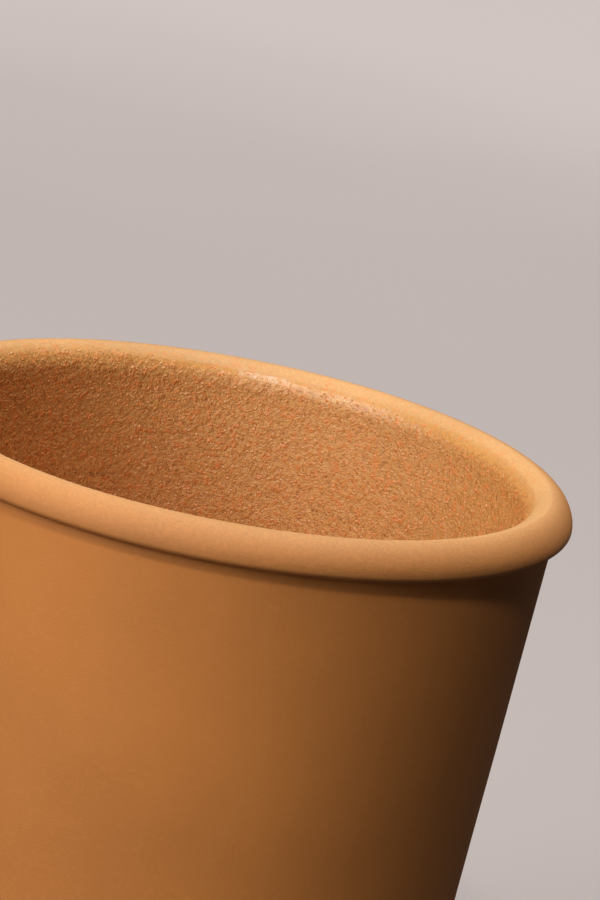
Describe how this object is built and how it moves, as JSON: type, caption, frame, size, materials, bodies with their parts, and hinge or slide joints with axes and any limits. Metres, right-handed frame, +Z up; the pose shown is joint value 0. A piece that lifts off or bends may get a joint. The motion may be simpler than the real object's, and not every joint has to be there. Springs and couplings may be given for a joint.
{
  "type": "stemmed tea cup",
  "caption": "Unglazed stoneware tea cup: a tapering bowl with a rounded, overhanging lip and a grained inside, on a hollow flared stem with a ring foot.",
  "frame": {"origin": "centre of the resting face under the foot ring", "axes": "+Z up along the cup's axis, from the foot to the lip"},
  "size_m": [0.065, 0.065, 0.0806],
  "materials": {
    "grained_clay": "matt, coarse grain inside",
    "burnished_clay": "satin, burnished",
    "slip": "matt"
  },
  "bodies": {
    "root": {"foot_ring": "burnished_clay", "foot_slip": "slip", "stem": "burnished_clay", "stem_slip": "slip", "bowl_base": "grained_clay", "neck_coil": "burnished_clay", "wall_slip": "slip", "bowl_wall": "grained_clay", "lip_slip": "slip", "lip_coil": "burnished_clay"}
  },
  "joints": []
}
